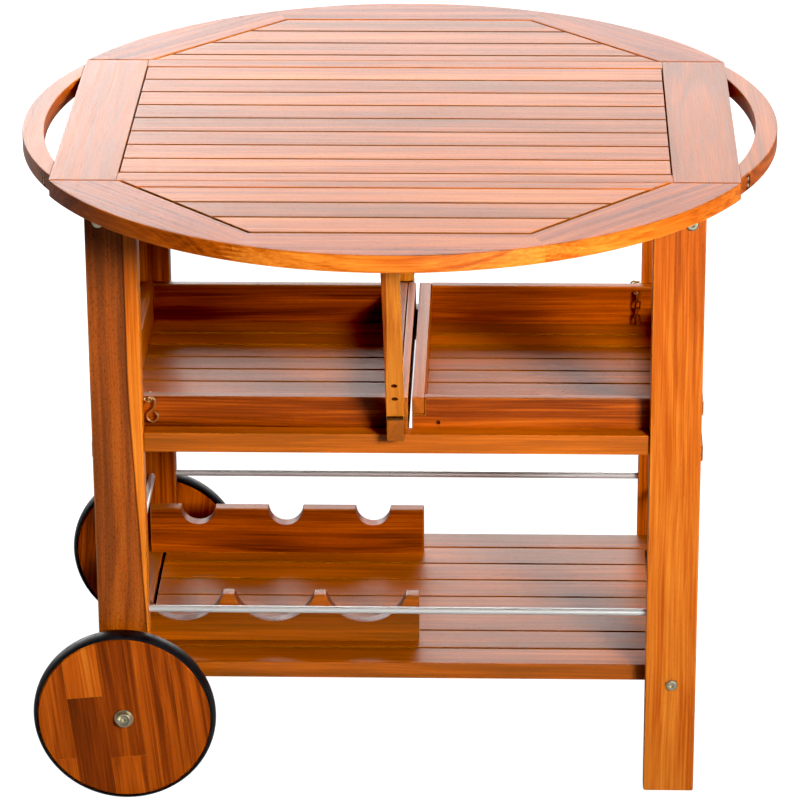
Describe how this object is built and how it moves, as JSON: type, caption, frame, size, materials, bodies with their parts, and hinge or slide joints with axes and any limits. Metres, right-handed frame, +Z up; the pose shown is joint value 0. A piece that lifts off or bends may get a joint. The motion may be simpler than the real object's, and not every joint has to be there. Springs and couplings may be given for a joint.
{
  "type": "bar cart",
  "caption": "Slatted wooden bar cart with drop leaves held by struts, sliding trays, a bottle shelf, curved end handles and a pair of large wheels.",
  "frame": {"origin": "on the floor under the middle of the cart", "axes": "+X along the cart away from the wheels, +Y from front to back, +Z up"},
  "size_m": [0.861, 0.892, 0.7535],
  "materials": {
    "wood": "oiled, satin",
    "steel": "plated",
    "brass": "plated",
    "rubber": "matt"
  },
  "bodies": {
    "frame": {"top_end_boards": "wood", "top_side_rails": "wood", "top_slats": "wood", "top_battens": "wood", "top_long_rails": "wood", "top_end_rails": "wood", "handle_left": "wood", "handle_right": "wood", "handle_screws": "steel", "leg_front_left": "wood", "leg_front_right": "wood", "leg_rear_left": "wood", "leg_rear_right": "wood", "mid_rails": "wood", "mid_end_rails": "wood", "tray_runners": "wood", "centre_divider": "wood", "strut_blocks": "wood", "shelf_rails": "wood", "shelf_end_rails": "wood", "shelf_slats": "wood", "shelf_bearers": "wood", "bottle_rack_front": "wood", "bottle_rack_rear": "wood", "guard_rods_long": "steel", "guard_rods_side": "steel", "leg_bolts": "steel", "axle_bolts": "steel", "axle_hardware": "steel", "hinge_plates": "brass", "hinge_pins": "brass", "tray_hooks": "brass"},
    "front_leaf": {"front_leaf_hinge_rail": "wood", "front_leaf_slats": "wood", "front_leaf_wedges": "wood", "front_leaf_rim": "wood", "front_leaf_battens": "wood", "front_leaf_hinge_flaps": "brass"},
    "front_strut": {"front_strut": "wood", "front_strut_hinge_flap": "brass"},
    "front_wheel": {"front_wheel_disc": "wood", "front_wheel_tyre": "rubber"},
    "rear_leaf": {"rear_leaf_hinge_rail": "wood", "rear_leaf_slats": "wood", "rear_leaf_wedges": "wood", "rear_leaf_rim": "wood", "rear_leaf_battens": "wood", "rear_leaf_hinge_flaps": "brass"},
    "rear_strut": {"rear_strut": "wood", "rear_strut_hinge_flap": "brass"},
    "rear_wheel": {"rear_wheel_disc": "wood", "rear_wheel_tyre": "rubber"},
    "left_tray": {"left_tray_sides": "wood", "left_tray_ends": "wood", "left_tray_slats": "wood", "left_tray_chain": "brass"},
    "right_tray": {"right_tray_sides": "wood", "right_tray_ends": "wood", "right_tray_slats": "wood", "right_tray_chain": "brass"}
  },
  "joints": [
    {"name": "front_leaf_fold", "type": "hinge", "parent": "frame", "child": "front_leaf", "pos_m": [0, -0.214, 0.7305], "axis": [1, 0, 0], "range_deg": [0, 90]},
    {"name": "front_strut_swing", "type": "hinge", "parent": "frame", "child": "front_strut", "pos_m": [0, -0.2258, 0.476], "axis": [1, 0, 0], "range_deg": [0, 146.3]},
    {"name": "rear_leaf_fold", "type": "hinge", "parent": "frame", "child": "rear_leaf", "pos_m": [0, 0.214, 0.7305], "axis": [-1, 0, 0], "range_deg": [0, 90]},
    {"name": "rear_strut_swing", "type": "hinge", "parent": "frame", "child": "rear_strut", "pos_m": [0, 0.2258, 0.476], "axis": [-1, 0, 0], "range_deg": [0, 146.3]},
    {"name": "left_tray_slide", "type": "slide", "parent": "frame", "child": "left_tray", "axis": [-1, 0, 0], "range_m": [0, 0.25]},
    {"name": "right_tray_slide", "type": "slide", "parent": "frame", "child": "right_tray", "axis": [1, 0, 0], "range_m": [0, 0.25]},
    {"name": "front_wheel_spin", "type": "hinge", "parent": "frame", "child": "front_wheel", "pos_m": [-0.3145, -0.229, 0.1055], "axis": [0, 1, 0], "continuous": true},
    {"name": "rear_wheel_spin", "type": "hinge", "parent": "frame", "child": "rear_wheel", "pos_m": [-0.3145, 0.229, 0.1055], "axis": [0, 1, 0], "continuous": true}
  ],
  "couplings": [
    {"joint": "front_strut_swing", "follows": "front_leaf_fold", "ratio": 1.6255},
    {"joint": "rear_strut_swing", "follows": "rear_leaf_fold", "ratio": 1.6255}
  ]
}
